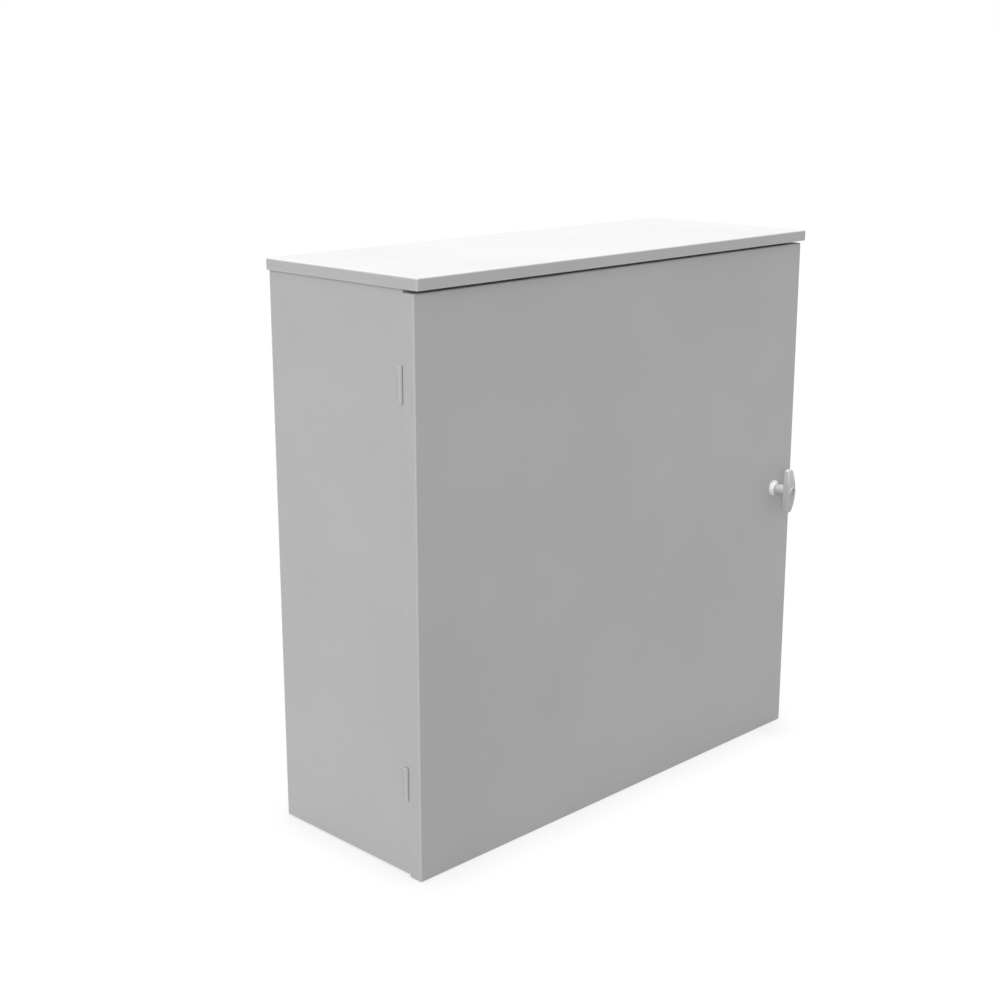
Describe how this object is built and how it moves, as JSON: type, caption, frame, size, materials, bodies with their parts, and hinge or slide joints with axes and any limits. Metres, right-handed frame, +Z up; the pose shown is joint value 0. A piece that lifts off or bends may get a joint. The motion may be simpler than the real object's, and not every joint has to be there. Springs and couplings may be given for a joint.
{
  "type": "hinged-cover electrical enclosure",
  "caption": "Wall-mounted folded steel enclosure with a drip shield top, a side-hinged pan cover and a locking T-handle latch.",
  "frame": {"origin": "centre of the four wall holes, on the outside of the back", "axes": "+X right as seen from the front, +Y back towards the wall, +Z up"},
  "size_m": [0.7735, 0.3131, 0.771],
  "materials": {
    "grey_paint": "light grey powder coat, fine texture",
    "plated_steel": "zinc plated",
    "satin_casting": "silver-grey satin lacquer on a die casting",
    "lock_steel": "turned face",
    "panel_white": "white enamel",
    "ground_green": "green dyed plating"
  },
  "bodies": {
    "box": {"body_shell": "grey_paint", "rim_left": "grey_paint", "rim_right": "grey_paint", "top_panel": "grey_paint", "bottom_panel": "grey_paint", "drip_shield": "grey_paint", "shield_end_left": "grey_paint", "shield_end_right": "grey_paint", "hinge_body_leaf_upper": "grey_paint", "hinge_body_leaf_lower": "grey_paint", "hinge_pin_upper": "plated_steel", "hinge_pin_lower": "plated_steel", "back_panel": "panel_white", "panel_studs": "plated_steel", "panel_washers": "plated_steel", "panel_nuts": "plated_steel", "ground_stud": "plated_steel", "ground_washer": "plated_steel", "ground_nut": "ground_green"},
    "cover": {"cover": "grey_paint", "hinge_cover_leaf_upper": "grey_paint", "hinge_cover_leaf_lower": "grey_paint", "latch_rosette": "satin_casting", "latch_washer": "plated_steel", "latch_locknut": "plated_steel"},
    "handle": {"t_handle": "satin_casting", "latch_cam": "plated_steel", "cam_washer": "plated_steel", "cam_bolt": "plated_steel"},
    "lock_plug": {"lock_plug": "lock_steel"}
  },
  "joints": [
    {"name": "cover_hinge", "type": "hinge", "parent": "box", "child": "cover", "pos_m": [-0.385, -0.25287, 0], "axis": [0, 0, -1], "range_deg": [0, 180]},
    {"name": "handle_turn", "type": "hinge", "parent": "cover", "child": "handle", "pos_m": [0.34202, -0.27732, 0.0012], "axis": [0, 1, 0], "range_deg": [0, 90]},
    {"name": "lock_plug_turn", "type": "hinge", "parent": "handle", "child": "lock_plug", "pos_m": [0.34202, -0.30732, 0.0012], "axis": [0, 1, 0], "range_deg": [0, 90]}
  ]
}
